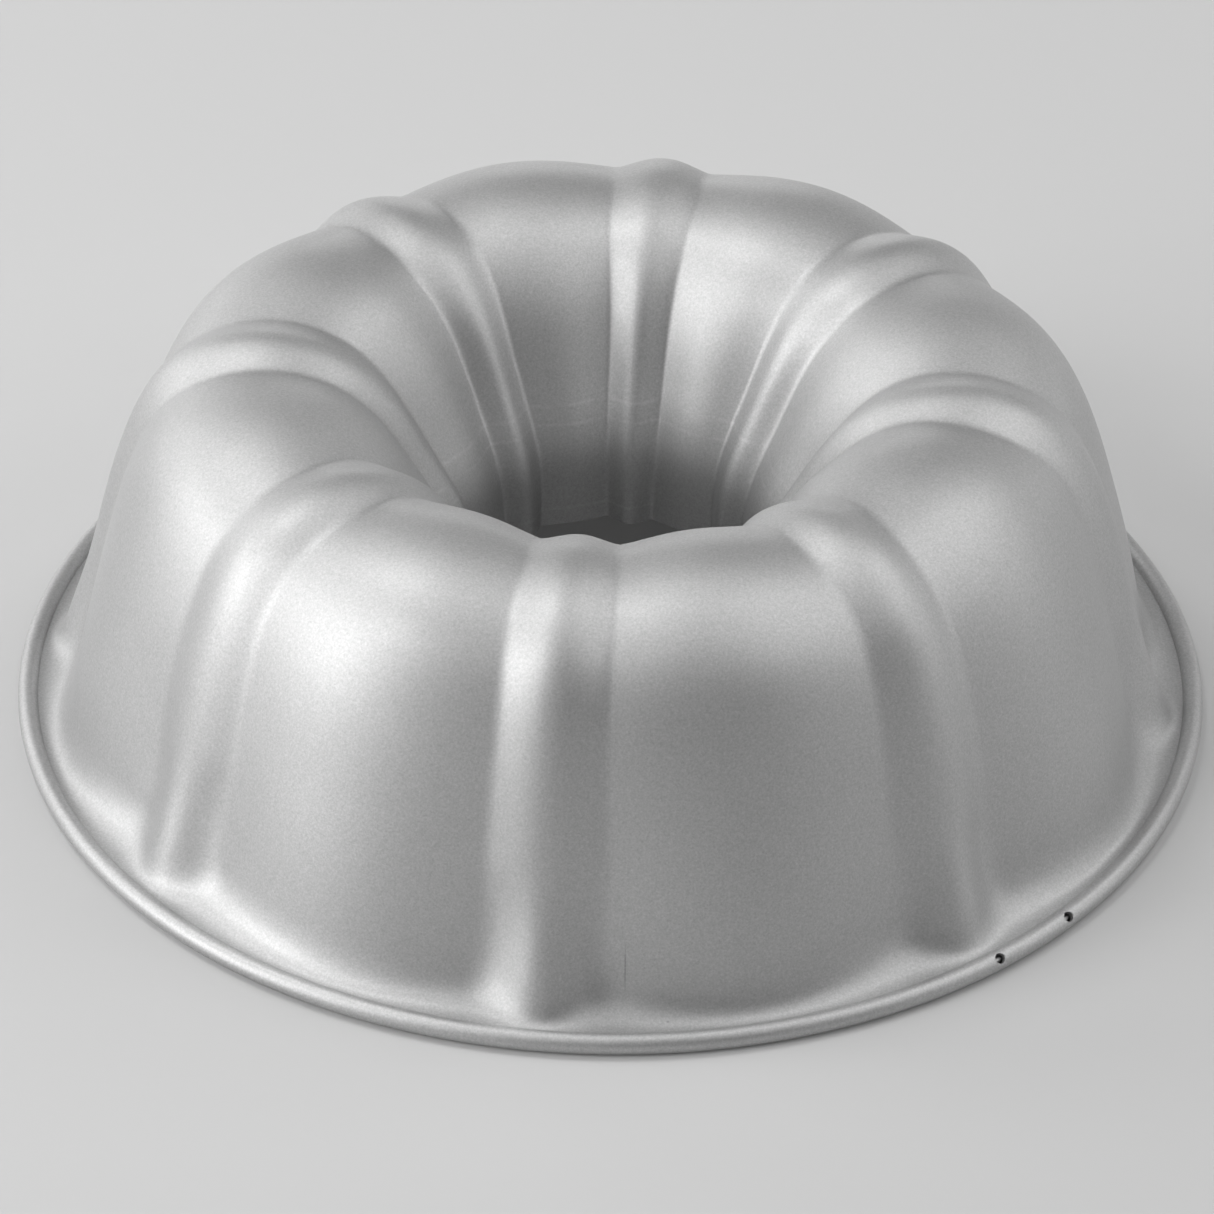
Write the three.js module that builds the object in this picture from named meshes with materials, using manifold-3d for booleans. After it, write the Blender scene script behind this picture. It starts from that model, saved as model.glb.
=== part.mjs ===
// Fluted tube cake pan, standing rim down as it does when it is stored or when a cake is turned out.
//
// The pan is drawn from one disc of aluminium sheet: the centre tube, the crown, the fluted wall, the
// flange and the rolled rim are one skin of even thickness. A wire lies inside the rolled rim and
// keeps it round. Millimetres, +Z up, the rim rests on z = 0 and the tube's axis is the Z axis.
//
// Eight narrow round ribs run from the flange, up the wall, over the crown and down into the tube.
// Between them the skin swells into eight broad lobes.

import * as THREE from 'three';
import { mergeVertices } from 'three/addons/utils/BufferGeometryUtils.js';
import Module from 'manifold-3d';

const wasm = await Module();
wasm.setup();

// ---------- driving dimensions ----------
const RIM_R = 125;              // outside radius of the rolled rim
const SHEET = 1.0;              // sheet thickness
const BEAD_R = 2.125;           // outside radius of the rolled bead's section
const WIRE_R = 0.8;             // radius of the rim wire's section
const FLANGE_Z = 2.5;           // height of the flange's upper face at the bead
const CREASE = 168;             // where the flange meets the bead, degrees round the bead's section
const CURL_END = -140;          // where the bead's sheet ends, degrees round the bead's section
const RIBS = 8;                 // narrow ribs, and as many lobes between them
const PHASE = -90;              // azimuth of the first rib, degrees: one rib lies on -Y
const HOLE_R = 1.1;             // radius of the two drain holes in the bead
const HOLE_AZ = [-44.0, -34.8]; // azimuths of the drain holes, degrees
const HOLE_TILT = 42;           // how far the drain holes lean outwards from vertical, degrees

// Section through the middle of a lobe, on the upper face, from the tube's lower edge over the crown and
// down to the foot of the wall: radius, height, rib height, rib half width, lobe depth.
const SECTION = [
  [29.5, 22.0, 3.37, 4.6, 1.99],
  [30.8, 39.2, 3.64, 5.2, 2.89],
  [37.1, 53.6, 3.70, 5.7, 3.48],
  [44.4, 66.5, 3.43, 6.4, 3.34],
  [54.2, 76.5, 2.66, 8.0, 2.81],
  [73.0, 81.5, 2.91, 9.6, 2.99],
  [93.5, 72.7, 2.97, 10.7, 3.08],
  [102.0, 58.5, 2.90, 11.4, 3.26],
  [107.1, 42.6, 3.35, 12.3, 3.86],
  [112.4, 22.4, 4.39, 14.0, 5.12],
  [114.5, 12.0, 5.42, 16.5, 4.97],
];
const RIB_A = 1.639;            // how full the ribs are across
const RIB_B = 1.310;            // how softly the ribs' flanks run out
const FOOT_SOFT = 2.0;          // how much softer the flanks are at the foot of the wall
const FOOT_SPAN = 25;           // height over which they soften
const LOBE_C = 1.029;           // how pointed the grooves beside the ribs are
const FILLET_RISE = 0.7;        // how far the wall's slope carries on into the fillet
const FILLET_REACH = 0.46;      // share of the way from the wall's foot to the bead that the fillet takes up
const GUTTER_DIP = 0.4;         // how far the flange dips below its height at the bead

// ---------- how finely each skin is drawn ----------
const OUTER_STATIONS = 14;      // rings from the tube's edge to the foot of the wall, upper face
const INNER_STATIONS = 12;      // the same on the lower face
const FILLET_STEPS = [0.3, 0.65, 1];
const SECTOR = [0, 2, 4, 6.5, 11, 16.5, 22.5, 28.5, 34, 38.5, 41, 43]; // degrees from a rib, per sector
const OUTER_BEAD = [120, 90, 60, 30, 0, -35, -75, -105, CURL_END];
const INNER_BEAD = [CURL_END, -90, -45, 0, 45, 90, 140];
const WIRE_SIDES = 6;

const rad = THREE.MathUtils.degToRad;

// ---------- curves ----------
// Natural cubic spline through (xs, ys); returns value and slope.
function spline(xs, ys) {
  const n = xs.length, a = new Array(n).fill(0), b = new Array(n).fill(1), c = new Array(n).fill(0), d = new Array(n).fill(0);
  for (let i = 1; i < n - 1; i++) {
    a[i] = xs[i] - xs[i - 1]; c[i] = xs[i + 1] - xs[i]; b[i] = 2 * (a[i] + c[i]);
    d[i] = 6 * ((ys[i + 1] - ys[i]) / c[i] - (ys[i] - ys[i - 1]) / a[i]);
  }
  for (let i = 1; i < n; i++) { const m = a[i] / b[i - 1]; b[i] -= m * c[i - 1]; d[i] -= m * d[i - 1]; }
  const M = new Array(n).fill(0);
  for (let i = n - 1; i >= 0; i--) M[i] = (d[i] - (i < n - 1 ? c[i] * M[i + 1] : 0)) / b[i];
  return (x) => {
    let i = 0;
    while (i < n - 2 && x > xs[i + 1]) i++;
    const h = xs[i + 1] - xs[i], p = (xs[i + 1] - x) / h, q = (x - xs[i]) / h;
    return [
      p * ys[i] + q * ys[i + 1] + ((p ** 3 - p) * M[i] + (q ** 3 - q) * M[i + 1]) * h * h / 6,
      (ys[i + 1] - ys[i]) / h + ((1 - 3 * p * p) * M[i] + (3 * q * q - 1) * M[i + 1]) * h / 6,
    ];
  };
}

const along = [0];
for (let i = 1; i < SECTION.length; i++) {
  along.push(along[i - 1] + Math.hypot(SECTION[i][0] - SECTION[i - 1][0], SECTION[i][1] - SECTION[i - 1][1]));
}
const LENGTH = along[along.length - 1];
const [curveR, curveZ, ribHeight, ribWidth, lobeDepth] = [0, 1, 2, 3, 4].map((k) => spline(along, SECTION.map((s) => s[k])));

const beadR = RIM_R - BEAD_R, beadZ = BEAD_R;
const creaseR = beadR + BEAD_R * Math.cos(rad(CREASE));

// Upper face of the drawn skin in the half plane at azimuth theta (radians): [radius, height].
// v runs from 0 at the tube's edge to 1 at the foot of the wall, and from 1 to 2 over the fillet and flange.
function skin(v, theta) {
  const sector = 2 * Math.PI / RIBS;
  let ph = (theta - rad(PHASE)) % sector;
  if (ph < 0) ph += sector;
  if (ph > sector / 2) ph -= sector;
  const q = Math.abs(ph) / (sector / 2);
  const wall = (u) => {
    const [r, dr] = curveR(u), [z, dz] = curveZ(u), L = Math.hypot(dr, dz);
    const w = ribWidth(u)[0], s = Math.abs(ph) * r;
    const t = (Math.sqrt(Math.min(s / w, 1) ** 2 + 0.0064) - 0.08) / (Math.sqrt(1.0064) - 0.08);
    const k = Math.min(Math.max((u - LENGTH + FOOT_SPAN) / FOOT_SPAN, 0), 1);
    const rib = (1 - Math.min(t, 1) ** RIB_A) ** (RIB_B + FOOT_SOFT * k * k * (3 - 2 * k));
    const off = ribHeight(u)[0] * rib - lobeDepth(u)[0] * (0.5 * (1 + Math.cos(Math.PI * q))) ** LOBE_C;
    return [r - dz / L * off, z + dr / L * off];
  };
  if (v <= 1) return wall(v * LENGTH);
  // a cubic Bezier from the wall's foot, round the fillet and over the flange to the crease at the bead
  const e = wall(LENGTH), b = wall(LENGTH - 0.5), g = Math.hypot(e[0] - b[0], e[1] - b[1]);
  const t = v - 1, s = 1 - t, drop = e[1] - FLANGE_Z;
  const p1 = [e[0] + (e[0] - b[0]) / g * drop * FILLET_RISE, e[1] + (e[1] - b[1]) / g * drop * FILLET_RISE];
  const p2 = [e[0] + FILLET_REACH * (creaseR - e[0]), FLANGE_Z - GUTTER_DIP];
  const p3 = [creaseR, beadZ + BEAD_R * Math.sin(rad(CREASE))];
  return [0, 1].map((k) => s ** 3 * e[k] + 3 * s * s * t * p1[k] + 3 * s * t * t * p2[k] + t ** 3 * p3[k]);
}
const point = (v, theta) => {
  const [r, z] = skin(v, theta);
  return new THREE.Vector3(r * Math.cos(theta), r * Math.sin(theta), z);
};
// The lower face lies one sheet thickness under the upper one, along its normal.
function under(v, theta) {
  const h = 1e-3, v0 = Math.max(v - h, 0), v1 = v > 1 ? Math.min(v + h, 2) : Math.min(v + h, 1);
  const dv = point(v1, theta).sub(point(v0, theta)), dt = point(v, theta + h).sub(point(v, theta - h));
  const n = dv.cross(dt).normalize(); // points out of the upper face
  return point(v, theta).addScaledVector(n, -SHEET);
}

// ---------- closed bodies from rings ----------
const thetas = [];
for (let k = 0; k < RIBS; k++) for (const a of SECTOR) thetas.push(rad(PHASE + k * 360 / RIBS + a));

// Rings of equal length, joined one to the next and the last to the first, as one closed body.
function ringBody(rings) {
  const n = thetas.length, m = rings.length, pos = [], idx = [];
  for (const ring of rings) for (const p of ring) pos.push(p.x, p.y, p.z);
  for (let i = 0; i < m; i++) {
    const i2 = (i + 1) % m;
    for (let j = 0; j < n; j++) {
      const j2 = (j + 1) % n;
      const a = i * n + j, b = i * n + j2, c = i2 * n + j2, d = i2 * n + j;
      idx.push(a, d, c, a, c, b);
    }
  }
  const g = new THREE.BufferGeometry();
  g.setAttribute('position', new THREE.Float32BufferAttribute(pos, 3));
  g.setIndex(idx);
  return g;
}
const beadRing = (r, angle, z) => thetas.map((t) => {
  const R = beadR + r * Math.cos(rad(angle));
  return new THREE.Vector3(R * Math.cos(t), R * Math.sin(t), z ?? beadZ + r * Math.sin(rad(angle)));
});

function toManifold(geometry) {
  let g = geometry.clone();
  g.deleteAttribute('normal'); g.deleteAttribute('uv');
  g = mergeVertices(g, 1e-5);
  return new wasm.Manifold(new wasm.Mesh({
    numProp: 3,
    vertProperties: new Float32Array(g.attributes.position.array),
    triVerts: new Uint32Array(g.index.array),
  }));
}
function fromManifold(solid) {
  const m = solid.getMesh(), g = new THREE.BufferGeometry();
  const pos = new Float32Array(m.vertProperties.length / m.numProp * 3);
  for (let i = 0; i < pos.length / 3; i++) for (let k = 0; k < 3; k++) pos[3 * i + k] = m.vertProperties[i * m.numProp + k];
  g.setAttribute('position', new THREE.BufferAttribute(pos, 3));
  g.setIndex(new THREE.BufferAttribute(new Uint32Array(m.triVerts), 1));
  return g;
}

// ---------- the drawn shell ----------
function shellGeometry() {
  const rings = [];
  for (let i = 0; i < OUTER_STATIONS; i++) rings.push(thetas.map((t) => point(i / (OUTER_STATIONS - 1), t)));
  for (const f of FILLET_STEPS) rings.push(thetas.map((t) => point(1 + f, t)));
  for (const a of OUTER_BEAD) rings.push(beadRing(BEAD_R, a, a === -75 || a === -105 ? 0 : undefined));
  for (const a of INNER_BEAD) rings.push(beadRing(BEAD_R - SHEET, a));
  // the flange's lower face ends where it meets the bead's inside
  const back = [...FILLET_STEPS.slice(0, -1)].reverse();
  rings.push(thetas.map((t) => new THREE.Vector3((creaseR - 0.35) * Math.cos(t), (creaseR - 0.35) * Math.sin(t), FLANGE_Z - SHEET)));
  for (const f of back) rings.push(thetas.map((t) => under(1 + f, t)));
  for (let i = INNER_STATIONS - 1; i >= 0; i--) rings.push(thetas.map((t) => under(i / (INNER_STATIONS - 1), t)));
  let solid = toManifold(ringBody(rings));
  for (const az of HOLE_AZ) {
    const bore = new THREE.CylinderGeometry(HOLE_R, HOLE_R, 3.6, 12);
    bore.translate(0, 1.8 + 0.2, 0);                       // from the bead's hollow outwards
    bore.rotateX(Math.PI / 2);                             // along +Z
    bore.rotateY(rad(HOLE_TILT));                          // leaning towards +X
    bore.translate(beadR, 0, beadZ);
    bore.rotateZ(rad(az));
    solid = solid.subtract(toManifold(bore));
  }
  return fromManifold(solid);
}

// ---------- the wire in the rim ----------
function wireGeometry() {
  const rings = [];
  for (let i = 0; i < WIRE_SIDES; i++) rings.push(beadRing(WIRE_R, 360 - i * 360 / WIRE_SIDES));
  return ringBody(rings);
}

// ---------- the assembly ----------
const satin = new THREE.MeshStandardMaterial({ color: 0x9b9b9b, roughness: 0.42, metalness: 1.0 });
const wireMetal = new THREE.MeshStandardMaterial({ color: 0x8c8c8c, roughness: 0.5, metalness: 1.0 });

const pan = new THREE.Group();
pan.name = 'fluted_tube_pan';

const shell = new THREE.Mesh(shellGeometry(), satin);
shell.name = 'pan_shell';
pan.add(shell);

const wire = new THREE.Mesh(wireGeometry(), wireMetal);
wire.name = 'rim_wire';
pan.add(wire);

export default pan;
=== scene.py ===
"""Looks for the fluted tube cake pan: camera, fine skins, satin aluminium, floor and studio light."""
import math

import bpy
import numpy as np
from mathutils import Matrix, Vector


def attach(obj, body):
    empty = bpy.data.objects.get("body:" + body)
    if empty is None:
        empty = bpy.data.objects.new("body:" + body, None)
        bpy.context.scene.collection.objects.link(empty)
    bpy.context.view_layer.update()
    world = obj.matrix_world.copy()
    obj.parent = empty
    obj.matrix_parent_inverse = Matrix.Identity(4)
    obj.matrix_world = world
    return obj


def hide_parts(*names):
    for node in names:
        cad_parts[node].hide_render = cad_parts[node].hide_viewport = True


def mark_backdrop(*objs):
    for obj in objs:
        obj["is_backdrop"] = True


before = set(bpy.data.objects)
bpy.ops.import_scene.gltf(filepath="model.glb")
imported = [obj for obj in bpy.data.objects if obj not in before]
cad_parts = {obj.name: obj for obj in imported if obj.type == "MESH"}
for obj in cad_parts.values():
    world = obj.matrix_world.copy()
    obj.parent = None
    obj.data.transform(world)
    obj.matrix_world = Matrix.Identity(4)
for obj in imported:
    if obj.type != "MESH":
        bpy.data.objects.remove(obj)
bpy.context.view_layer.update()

scene = bpy.context.scene
MM = 0.001

# ------------------------------------------------------------------------------------------------ camera
# A long lens, 1.5 m away and 36 degrees above the horizon, over a rib that lies a little left of centre.
IMAGE = 1214.0
FOCAL_PX = 6947.6
DISTANCE = 1.4710
ELEVATION = 36.1088
AZIMUTH = 6.7311          # turned round the pan from -Y towards +X
ROLL = 0.6712
ORIGIN_PX = (610.572, 685.073)  # where the middle of the rim's circle lands
CENTRE_PX = (612.197, 608.924)  # where the optical axis lands


def make_camera():
    el, ro = math.radians(ELEVATION), math.radians(ROLL)
    place = Vector((0, -DISTANCE * math.cos(el), DISTANCE * math.sin(el)))
    fwd = -place.normalized()
    right = Vector((1, 0, 0))
    up = right.cross(fwd)
    right, up = right * math.cos(ro) + up * math.sin(ro), -right * math.sin(ro) + up * math.cos(ro)
    a = (ORIGIN_PX[0] - CENTRE_PX[0]) / FOCAL_PX
    b = -(ORIGIN_PX[1] - CENTRE_PX[1]) / FOCAL_PX
    d = Vector((a, b, 1)).normalized()
    # the direction to the origin is d in the camera's (right, up, forward) frame: pitch first, then yaw
    pitch, yaw = math.asin(d[1]), math.atan2(d[0], d[2])

    def turn(v, k, t):
        return Matrix.Rotation(t, 3, k) @ v

    s = 1 if abs(fwd.dot(turn(up, right, pitch)) - math.sin(pitch)) < 1e-6 else -1
    f1, u1 = turn(fwd, right, s * pitch), turn(up, right, s * pitch)
    s = 1 if abs(fwd.dot(turn(right, u1, yaw)) - math.sin(yaw) * math.cos(pitch)) < 1e-6 else -1
    f2, r2 = turn(f1, u1, s * yaw), turn(right, u1, s * yaw)
    m = Matrix.Identity(4)
    for i in range(3):
        m[i][0], m[i][1], m[i][2], m[i][3] = r2[i], u1[i], -f2[i], place[i]
    data = bpy.data.cameras.new("camera")
    data.sensor_fit = "HORIZONTAL"
    data.sensor_width = 36.0
    data.lens = FOCAL_PX * 36.0 / IMAGE
    data.shift_x = (IMAGE / 2 - CENTRE_PX[0]) / IMAGE
    data.shift_y = (CENTRE_PX[1] - IMAGE / 2) / IMAGE
    data.clip_start, data.clip_end = 0.01, 100.0
    cam = bpy.data.objects.new("camera", data)
    cam.matrix_world = Matrix.Rotation(math.radians(AZIMUTH), 4, "Z") @ m
    scene.collection.objects.link(cam)
    scene.camera = cam
    return cam


camera = make_camera()

# ------------------------------------------------------------------------------------------------ the skin
RIM_R = 125.0
SHEET = 1.0
BEAD_R = 2.125
WIRE_R = 0.8
FLANGE_Z = 2.5
CREASE = 168.0
CURL_END = -140.0
RIBS = 8
PHASE = -90.0
HOLE_R = 1.1
HOLE_AZ = (-44.0, -34.8)
HOLE_TILT = 42.0
FILLET_REACH = 0.46
GUTTER_DIP = 0.4
FOOT_SOFT = 2.0
FOOT_SPAN = 25.0
FILLET_RISE = 0.7
RIB_A, RIB_B, LOBE_C = 1.639, 1.310, 1.029
SECTION = np.array([
    [29.5, 22.0, 3.37, 4.6, 1.99],
    [30.8, 39.2, 3.64, 5.2, 2.89],
    [37.1, 53.6, 3.70, 5.7, 3.48],
    [44.4, 66.5, 3.43, 6.4, 3.34],
    [54.2, 76.5, 2.66, 8.0, 2.81],
    [73.0, 81.5, 2.91, 9.6, 2.99],
    [93.5, 72.7, 2.97, 10.7, 3.08],
    [102.0, 58.5, 2.90, 11.4, 3.26],
    [107.1, 42.6, 3.35, 12.3, 3.86],
    [112.4, 22.4, 4.39, 14.0, 5.12],
    [114.5, 12.0, 5.42, 16.5, 4.97],
])


def natural_spline(xs, ys):
    """Natural cubic spline through (xs, ys): a function that gives value and slope."""
    n = len(xs)
    h = np.diff(xs)
    A = np.eye(n)
    d = np.zeros(n)
    for i in range(1, n - 1):
        A[i, i - 1], A[i, i], A[i, i + 1] = h[i - 1], 2 * (h[i - 1] + h[i]), h[i]
        d[i] = 6 * ((ys[i + 1] - ys[i]) / h[i] - (ys[i] - ys[i - 1]) / h[i - 1])
    M = np.linalg.solve(A, d)

    def f(x):
        x = np.asarray(x, float)
        i = np.clip(np.searchsorted(xs, x, side="left") - 1, 0, n - 2)
        hh = xs[i + 1] - xs[i]
        p, q = (xs[i + 1] - x) / hh, (x - xs[i]) / hh
        v = p * ys[i] + q * ys[i + 1] + ((p**3 - p) * M[i] + (q**3 - q) * M[i + 1]) * hh * hh / 6
        s = (ys[i + 1] - ys[i]) / hh + ((1 - 3 * p * p) * M[i] + (3 * q * q - 1) * M[i + 1]) * hh / 6
        return v, s

    return f


ALONG = np.r_[0, np.cumsum(np.hypot(np.diff(SECTION[:, 0]), np.diff(SECTION[:, 1])))]
LENGTH = ALONG[-1]
CURVES = [natural_spline(ALONG, SECTION[:, k]) for k in range(5)]
bead_r, bead_z = RIM_R - BEAD_R, BEAD_R
crease = math.radians(CREASE)
crease_r, crease_z = bead_r + BEAD_R * math.cos(crease), bead_z + BEAD_R * math.sin(crease)


def wall(u, theta):
    sector = 2 * np.pi / RIBS
    ph = (theta - math.radians(PHASE)) % sector
    ph = np.where(ph > sector / 2, ph - sector, ph)
    q = np.abs(ph) / (sector / 2)
    (r, dr), (z, dz) = CURVES[0](u), CURVES[1](u)
    L = np.hypot(dr, dz)
    w = CURVES[3](u)[0]
    s = np.abs(ph) * r
    t = np.clip(s / w, 0, 1)
    t = (np.sqrt(t * t + 0.0064) - 0.08) / (math.sqrt(1.0064) - 0.08)
    k = np.clip((u - LENGTH + FOOT_SPAN) / FOOT_SPAN, 0, 1)
    rib = (1 - np.clip(t, 0, 1) ** RIB_A) ** (RIB_B + FOOT_SOFT * k * k * (3 - 2 * k))
    off = CURVES[2](u)[0] * rib - CURVES[4](u)[0] * (0.5 * (1 + np.cos(np.pi * q))) ** LOBE_C
    return r - dz / L * off, z + dr / L * off


def skin(v, theta):
    """Upper face of the drawn sheet: (radius, height) at v (0 tube edge, 1 wall's foot, 2 crease) and azimuth theta."""
    v, theta = np.broadcast_arrays(np.asarray(v, float), np.asarray(theta, float))
    r, z = wall(np.clip(v, 0, 1) * LENGTH, theta)
    e = np.stack(wall(np.full(v.shape, LENGTH), theta))
    b = np.stack(wall(np.full(v.shape, LENGTH - 0.5), theta))
    g = np.hypot(*(e - b))
    t = np.clip(v - 1, 0, 1)
    s = 1 - t
    p1 = e + (e - b) / g * (e[1] - FLANGE_Z) * FILLET_RISE
    p2 = np.stack([e[0] + FILLET_REACH * (crease_r - e[0]), np.full(v.shape, FLANGE_Z - GUTTER_DIP)])
    p3 = np.stack([np.full(v.shape, crease_r), np.full(v.shape, crease_z)])
    f = s**3 * e + 3 * s * s * t * p1 + 3 * s * t * t * p2 + t**3 * p3
    return np.where(v <= 1, r, f[0]), np.where(v <= 1, z, f[1])


def point(v, theta):
    r, z = skin(v, theta)
    return np.stack([r * np.cos(theta), r * np.sin(theta), z], -1)


def normal(v, theta):
    h = 1e-4
    v = np.asarray(v, float)
    v0, v1 = np.where(v > 1, np.maximum(v - h, 1), np.maximum(v - h, 0)), np.where(v > 1, np.minimum(v + h, 2), np.minimum(v + h, 1))
    n = np.cross(point(v1, theta) - point(v0, theta), point(v, theta + h) - point(v, theta - h))
    return n / np.linalg.norm(n, axis=-1)[..., None]


N_THETA = 512
theta = math.radians(PHASE) + np.arange(N_THETA) * 2 * np.pi / N_THETA


def ring(r, z):
    return np.stack([r * np.cos(theta), r * np.sin(theta), np.full(N_THETA, z)], -1)


def closed_rings(name, rings, smooth=True):
    """One closed body from rings of equal length, each joined to the next and the last to the first."""
    P = np.array(rings)
    m, n = P.shape[:2]
    i, j = np.meshgrid(np.arange(m), np.arange(n), indexing="ij")
    i2, j2 = (i + 1) % m, (j + 1) % n
    quads = np.stack([i * n + j, i2 * n + j, i2 * n + j2, i * n + j2], -1).reshape(-1, 4)
    me = bpy.data.meshes.new(name)
    me.from_pydata((P.reshape(-1, 3) * MM).tolist(), [], quads.tolist())
    me.update()
    if smooth:
        me.polygons.foreach_set("use_smooth", np.ones(len(me.polygons), bool))
    ob = bpy.data.objects.new(name, me)
    scene.collection.objects.link(ob)
    return ob


def build_shell():
    rings = []
    # the tube's lower edge is cut square and deburred
    e_up, n0 = point(0.0, theta), normal(0.0, theta)
    dv = point(0.004, theta) - e_up
    dv /= np.linalg.norm(dv, axis=-1)[..., None]
    R = 0.35
    for a in (90, 60, 30, 0):
        c, s = math.cos(math.radians(a)), math.sin(math.radians(a))
        rings.append(e_up - n0 * (SHEET - R) + dv * R - n0 * R * s - dv * R * c)
    for a in (0, 30, 60, 90):
        c, s = math.cos(math.radians(a)), math.sin(math.radians(a))
        rings.append(e_up - n0 * R + dv * R + n0 * R * s - dv * R * c)
    for v in np.linspace(0, 1, 190)[2:]:
        rings.append(point(v, theta))
    for v in np.linspace(1, 2, 26)[1:-1]:
        rings.append(point(v, theta))
    for a in np.r_[np.linspace(CREASE, CURL_END + 4, 44)]:
        rings.append(ring(bead_r + BEAD_R * math.cos(math.radians(a)), bead_z + BEAD_R * math.sin(math.radians(a))))
    # the curl's rolled-in edge
    mid, half = BEAD_R - SHEET / 2, SHEET / 2
    for a in (60, 20, -20, -60):
        rr = mid + half * math.sin(math.radians(a)) * 0.98
        aa = math.radians(CURL_END + 4 - 12 * math.cos(math.radians(a)))
        rings.append(ring(bead_r + rr * math.cos(aa), bead_z + rr * math.sin(aa)))
    for a in np.linspace(CURL_END + 4, 138, 26):
        rings.append(ring(bead_r + (BEAD_R - SHEET) * math.cos(math.radians(a)), bead_z + (BEAD_R - SHEET) * math.sin(math.radians(a))))
    rings.append(ring(crease_r + 0.15, FLANGE_Z - SHEET + 0.12))
    rings.append(ring(crease_r - 0.5, FLANGE_Z - SHEET))
    for v in np.linspace(1, 1.9, 14)[::-1]:
        rings.append(point(v, theta) - normal(v, theta) * SHEET)
    for v in np.linspace(0, 1, 120)[2:-1][::-1]:
        rings.append(point(v, theta) - normal(v, theta) * SHEET)
    ob = closed_rings("pan_skin", rings)

    # the two drain holes, drilled into the bead and lightly countersunk
    profile = [(0.0, 0.15), (HOLE_R, 0.15), (HOLE_R, BEAD_R - 0.16), (HOLE_R + 0.22, BEAD_R + 0.06), (HOLE_R + 0.22, 3.4), (0.0, 3.4)]
    for k, az in enumerate(HOLE_AZ):
        n = 40
        verts, faces = [(0, 0, profile[0][1]), (0, 0, profile[-1][1])], []
        for r, h in profile[1:-1]:
            verts += [(r * math.cos(2 * math.pi * i / n), r * math.sin(2 * math.pi * i / n), h) for i in range(n)]
        rows = len(profile) - 2
        for i in range(n):
            i2 = (i + 1) % n
            faces.append((0, 2 + i2, 2 + i))
            for k2 in range(rows - 1):
                a, b = 2 + k2 * n, 2 + (k2 + 1) * n
                faces.append((a + i, a + i2, b + i2, b + i))
            faces.append((1, 2 + (rows - 1) * n + i, 2 + (rows - 1) * n + i2))
        me = bpy.data.meshes.new("drill")
        me.from_pydata([tuple(c * MM for c in v) for v in verts], [], faces)
        drill = bpy.data.objects.new("drill", me)
        scene.collection.objects.link(drill)
        drill.matrix_world = (
            Matrix.Rotation(math.radians(az), 4, "Z")
            @ Matrix.Translation((bead_r * MM, 0, bead_z * MM))
            @ Matrix.Rotation(math.radians(HOLE_TILT), 4, "Y")
        )
        bpy.context.view_layer.update()
        mod = ob.modifiers.new("hole", "BOOLEAN")
        mod.operation, mod.solver, mod.object = "DIFFERENCE", "EXACT", drill
        deps = bpy.context.evaluated_depsgraph_get()
        new = bpy.data.meshes.new_from_object(ob.evaluated_get(deps))
        ob.modifiers.clear()
        old, ob.data = ob.data, new
        bpy.data.meshes.remove(old)
        bpy.data.objects.remove(drill)
    ob.data.name = "pan_skin"
    ob.data.polygons.foreach_set("use_smooth", np.ones(len(ob.data.polygons), bool))
    ob.data.set_sharp_from_angle(angle=math.radians(38))
    return ob


def build_wire():
    rings = []
    for a in np.arange(20) * 360 / 20:
        rings.append(ring(bead_r + WIRE_R * math.cos(math.radians(-a)), bead_z + WIRE_R * math.sin(math.radians(-a))))
    return closed_rings("rim_wire_ring", rings)


shell = build_shell()
wire = build_wire()

# ------------------------------------------------------------------------------------------------ materials


BASE_TONE = 0.50
ROUGH = 0.58
GRAIN_LO = 0.84
SCRATCH_AZ = 278.55
PIT_AT = (0.1174 * math.cos(math.radians(282.67)), 0.1174 * math.sin(math.radians(282.67)), 0.0027)


def new_material(name):
    m = bpy.data.materials.new(name)
    m.use_nodes = True
    nt = m.node_tree
    nt.nodes.clear()
    out = nt.nodes.new("ShaderNodeOutputMaterial")
    bsdf = nt.nodes.new("ShaderNodeBsdfPrincipled")
    nt.links.new(bsdf.outputs[0], out.inputs[0])
    return m, nt, bsdf


def node(nt, kind, **values):
    n = nt.nodes.new(kind)
    for k, v in values.items():
        if k in n.inputs:
            n.inputs[k].default_value = v
        else:
            setattr(n, k, v)
    return n


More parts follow.
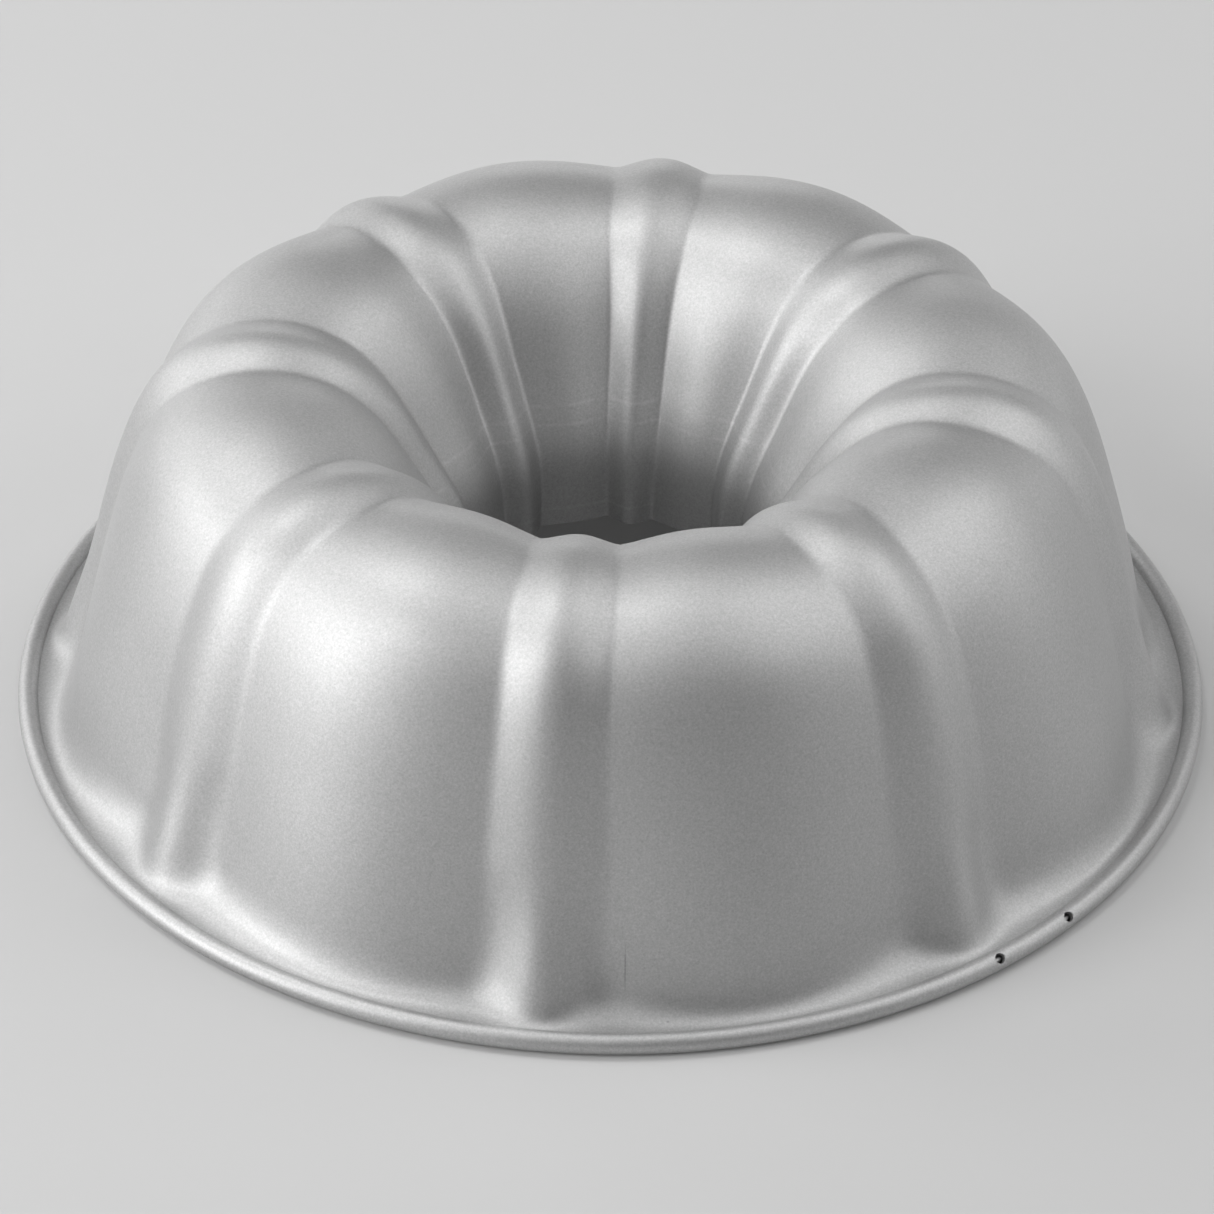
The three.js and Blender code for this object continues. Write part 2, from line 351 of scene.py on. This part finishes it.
def satin_aluminium():
    m, nt, bsdf = new_material("satin_aluminium")
    link = nt.links.new

    def math_node(op, a, b=None, clamp=False):
        n = node(nt, "ShaderNodeMath", operation=op, use_clamp=clamp)
        for k, v in enumerate((a, b)):
            if v is None:
                continue
            if isinstance(v, (int, float)):
                n.inputs[k].default_value = v
            else:
                link(v, n.inputs[k])
        return n.outputs[0]

    def spread(value, lo, hi, to_lo, to_hi):
        n = node(nt, "ShaderNodeMapRange")
        n.inputs["From Min"].default_value, n.inputs["From Max"].default_value = lo, hi
        n.inputs["To Min"].default_value, n.inputs["To Max"].default_value = to_lo, to_hi
        link(value, n.inputs["Value"])
        return n.outputs[0]

    co = node(nt, "ShaderNodeTexCoord")
    bsdf.inputs["Metallic"].default_value = 1.0
    # a thin clear layer over the satin metal gives the small sharp glints: a look, not a known coating
    bsdf.inputs["Coat Weight"].default_value = 0.10
    bsdf.inputs["Coat Roughness"].default_value = 0.16
    bsdf.inputs["Coat IOR"].default_value = 1.5

    # fine satin grain, a coarser speckle and the slow unevenness of the finish
    grain = node(nt, "ShaderNodeTexNoise", Scale=2300.0, Detail=3.0, Roughness=0.7)
    speck = node(nt, "ShaderNodeTexNoise", Scale=1300.0, Detail=3.0, Roughness=0.75)
    cloud = node(nt, "ShaderNodeTexNoise", Scale=28.0, Detail=4.0, Roughness=0.55)
    for n in (grain, speck, cloud):
        link(co.outputs["Object"], n.inputs["Vector"])
    tone = math_node("MULTIPLY", spread(grain.outputs["Fac"], 0.25, 0.75, GRAIN_LO, 2 - GRAIN_LO), spread(speck.outputs["Fac"], 0.25, 0.75, 0.93, 1.07))
    tone = math_node("MULTIPLY", tone, spread(cloud.outputs["Fac"], 0.3, 0.7, 0.975, 1.025))

    # marks left by handling, in the pan's own frame
    sep = node(nt, "ShaderNodeSeparateXYZ")
    link(co.outputs["Object"], sep.inputs[0])
    x, y, z = sep.outputs
    radius = math_node("SQRT", math_node("ADD", math_node("MULTIPLY", x, x), math_node("MULTIPLY", y, y)))
    patch = node(nt, "ShaderNodeTexNoise", Scale=160.0, Detail=2.0, Roughness=0.6)
    link(co.outputs["Object"], patch.inputs["Vector"])
    patchy = spread(patch.outputs["Fac"], 0.38, 0.6, 0.15, 1.0)

    def ring_mark(height, width, r_max):
        # 1 on the mark, falling to 0 at half its width; only where the skin is nearer the axis than r_max
        near = math_node("SUBTRACT", 1.0, math_node("DIVIDE", math_node("ABSOLUTE", math_node("SUBTRACT", z, height)), width), clamp=True)
        return math_node("MULTIPLY", near, math_node("LESS_THAN", radius, r_max))

    rings = math_node("ADD", ring_mark(0.0489, 0.0006, 0.040), ring_mark(0.0452, 0.0005, 0.040))
    rings = math_node("ADD", rings, ring_mark(0.0262, 0.0005, 0.034))
    rings = math_node("MULTIPLY", rings, patchy)
    # the punch polishes a faint band into the tube between the two marks
    band = math_node("MULTIPLY", math_node("MULTIPLY", ring_mark(0.0470, 0.0030, 0.040), patchy), 0.03)
    tone = math_node("ADD", tone, math_node("ADD", math_node("MULTIPLY", rings, 0.08), band))

    # painted shade: the metal is darkened low in the tube, standing in for the shade where little light reaches
    # it; the metal is toned down low in the tube: a guess, since less light reaching it would look the same
    tube_painted_shade = spread(z, 0.020, 0.050, 1.0, 0.0)
    tube_painted_shade = math_node("MULTIPLY", tube_painted_shade, math_node("LESS_THAN", radius, 0.05))
    tone = math_node("MULTIPLY", tone, math_node("SUBTRACT", 1.0, math_node("MULTIPLY", tube_painted_shade, 0.30)))

    # one hairline scratch low on the wall, and a pit in the flange
    a = math.radians(SCRATCH_AZ)
    side = math_node("ABSOLUTE", math_node("SUBTRACT", math_node("MULTIPLY", x, math.sin(a)), math_node("MULTIPLY", y, math.cos(a))))
    front = math_node("GREATER_THAN", math_node("ADD", math_node("MULTIPLY", x, math.cos(a)), math_node("MULTIPLY", y, math.sin(a))), 0.1)
    line = math_node("SUBTRACT", 1.0, math_node("DIVIDE", side, 0.00016), clamp=True)
    span = math_node("SUBTRACT", 1.0, math_node("DIVIDE", math_node("ABSOLUTE", math_node("SUBTRACT", z, 0.012)), 0.0058), clamp=True)
    line = math_node("MULTIPLY", math_node("MULTIPLY", line, front), math_node("MULTIPLY", span, 1.4, clamp=True))
    pit = node(nt, "ShaderNodeVectorMath", operation="DISTANCE")
    link(co.outputs["Object"], pit.inputs[0])
    pit.inputs[1].default_value = PIT_AT
    dot = math_node("SUBTRACT", 1.0, math_node("DIVIDE", pit.outputs["Value"], 0.0005), clamp=True)
    dark = math_node("ADD", math_node("MULTIPLY", line, 0.45), math_node("MULTIPLY", dot, 1.2), clamp=True)
    tone = math_node("MULTIPLY", tone, math_node("SUBTRACT", 1.0, dark))

    base = node(nt, "ShaderNodeVectorMath", operation="SCALE")
    base.inputs[0].default_value = (BASE_TONE, BASE_TONE, BASE_TONE)
    link(tone, base.inputs["Scale"])
    link(base.outputs["Vector"], bsdf.inputs["Base Color"])

    rough = spread(cloud.outputs["Fac"], 0.3, 0.7, ROUGH - 0.02, ROUGH + 0.02)
    rough = math_node("SUBTRACT", rough, math_node("MULTIPLY", rings, 0.08))
    link(rough, bsdf.inputs["Roughness"])

    bump = node(nt, "ShaderNodeBump", Strength=0.6, Distance=0.00004)
    link(math_node("ADD", grain.outputs["Fac"], math_node("MULTIPLY", speck.outputs["Fac"], 0.6)), bump.inputs["Height"])
    link(bump.outputs[0], bsdf.inputs["Normal"])
    return m


def wire_aluminium():
    m, nt, bsdf = new_material("wire_aluminium")
    link = nt.links.new
    co = node(nt, "ShaderNodeTexCoord")
    n = node(nt, "ShaderNodeTexNoise", Scale=900.0, Detail=3.0)
    link(co.outputs["Object"], n.inputs["Vector"])
    ramp = node(nt, "ShaderNodeMapRange")
    ramp.inputs["To Min"].default_value, ramp.inputs["To Max"].default_value = 0.35, 0.55
    link(n.outputs["Fac"], ramp.inputs["Value"])
    link(ramp.outputs[0], bsdf.inputs["Roughness"])
    tone = node(nt, "ShaderNodeMapRange")
    tone.inputs["To Min"].default_value, tone.inputs["To Max"].default_value = 0.38, 0.52
    link(n.outputs["Fac"], tone.inputs["Value"])
    col = node(nt, "ShaderNodeCombineColor")
    for k in range(3):
        link(tone.outputs[0], col.inputs[k])
    link(col.outputs[0], bsdf.inputs["Base Color"])
    bsdf.inputs["Metallic"].default_value = 1.0
    return m


shell.data.materials.clear()
shell.data.materials.append(satin_aluminium())
wire.data.materials.append(wire_aluminium())

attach(shell, "root")
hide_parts("pan_shell")
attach(wire, "root")
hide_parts("rim_wire")

# ------------------------------------------------------------------------------------------------ floor and light


FLOOR_GLOW = 0.04  # the table is lit from below as well
FAR_GLOW = 0.45


def make_floor():
    # a round table that runs into a low pale surround, so that level views see no black beyond it
    me = bpy.data.meshes.new("floor")
    n, R, H = 96, 12.0, 1.4
    ring = [(R * math.cos(2 * math.pi * i / n), R * math.sin(2 * math.pi * i / n)) for i in range(n)]
    verts = [(x, y, 0) for x, y in ring] + [(x, y, H) for x, y in ring]
    me.from_pydata(verts, [], [tuple(range(n))] + [(i, (i + 1) % n, n + (i + 1) % n, n + i) for i in range(n)])
    ob = bpy.data.objects.new("floor", me)
    scene.collection.objects.link(ob)
    m, nt, bsdf = new_material("floor_white")
    bsdf.inputs["Base Color"].default_value = (0.5, 0.5, 0.5, 1)
    bsdf.inputs["Roughness"].default_value = 0.9
    bsdf.inputs["Emission Color"].default_value = (1, 1, 1, 1)
    # the glow grows with distance from the pan, beyond the reach of the soft boxes
    co = node(nt, "ShaderNodeTexCoord")
    away = node(nt, "ShaderNodeVectorMath", operation="LENGTH")
    nt.links.new(co.outputs["Object"], away.inputs[0])
    ramp = node(nt, "ShaderNodeMapRange")
    ramp.inputs["From Min"].default_value, ramp.inputs["From Max"].default_value = 1.3, 1.9
    ramp.inputs["To Min"].default_value, ramp.inputs["To Max"].default_value = FLOOR_GLOW, FAR_GLOW
    nt.links.new(away.outputs["Value"], ramp.inputs["Value"])
    nt.links.new(ramp.outputs[0], bsdf.inputs["Emission Strength"])
    me.materials.append(m)
    ob.location.z = -0.00005
    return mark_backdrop(ob)


make_floor()

# soft boxes: azimuth and elevation of the direction the light comes from, degrees (azimuth from +X towards +Y in
# the camera's own turned frame, so -90 is behind the camera), size in metres, power in watts
LIGHTS = [
    (205.0, 20.0, 0.12, 0.90),
    (0.0, 8.0, 0.6, 1.35),
    (45.0, 8.0, 0.6, 0.86),
    (67.5, 8.0, 0.6, 0.39),
    (90.0, 8.0, 0.6, 1.65),
    (112.5, 8.0, 0.6, 0.86),
    (135.0, 8.0, 0.6, 1.52),
    (180.0, 8.0, 0.6, 1.27),
    (202.5, 8.0, 0.6, 5.56),
    (225.0, 8.0, 0.6, 0.63),
    (15.0, 26.0, 0.6, 1.11),
    (135.0, 26.0, 0.6, 1.95),
    (165.0, 26.0, 0.6, 4.53),
    (195.0, 26.0, 0.6, 4.60),
    (225.0, 26.0, 0.6, 0.84),
    (345.0, 26.0, 0.6, 1.87),
    (0.0, 46.0, 0.6, 2.11),
    (36.0, 46.0, 0.6, 2.61),
    (144.0, 46.0, 0.6, 1.40),
    (216.0, 46.0, 0.6, 6.00),
    (324.0, 46.0, 0.6, 2.17),
    (30.0, 67.0, 0.6, 3.22),
    (150.0, 67.0, 0.6, 7.62),
    (330.0, 67.0, 0.6, 1.15),
]
WORLD = 0.0


def make_lights():
    made = []
    for k, (az, el, size, power) in enumerate(LIGHTS):
        data = bpy.data.lights.new(f"softbox_{k}", "AREA")
        data.shape, data.size, data.energy = "DISK", size, power
        ob = bpy.data.objects.new(f"softbox_{k}", data)
        a, e = math.radians(az + AZIMUTH), math.radians(el)
        d = Vector((math.cos(e) * math.cos(a), math.cos(e) * math.sin(a), math.sin(e)))
        ob.location = d * 1.6 + Vector((0, 0, 0.04))
        ob.rotation_euler = d.to_track_quat("Z", "Y").to_euler()
        scene.collection.objects.link(ob)
        made.append(ob)
    world = bpy.data.worlds.new("studio")
    scene.world = world
    world.use_nodes = True
    bg = world.node_tree.nodes["Background"]
    bg.inputs[0].default_value = (1, 1, 1, 1)
    bg.inputs[1].default_value = WORLD
    return made


lights = make_lights()
scene.view_settings.view_transform = "Standard"
scene.view_settings.look = "None"

bpy.context.view_layer.update()
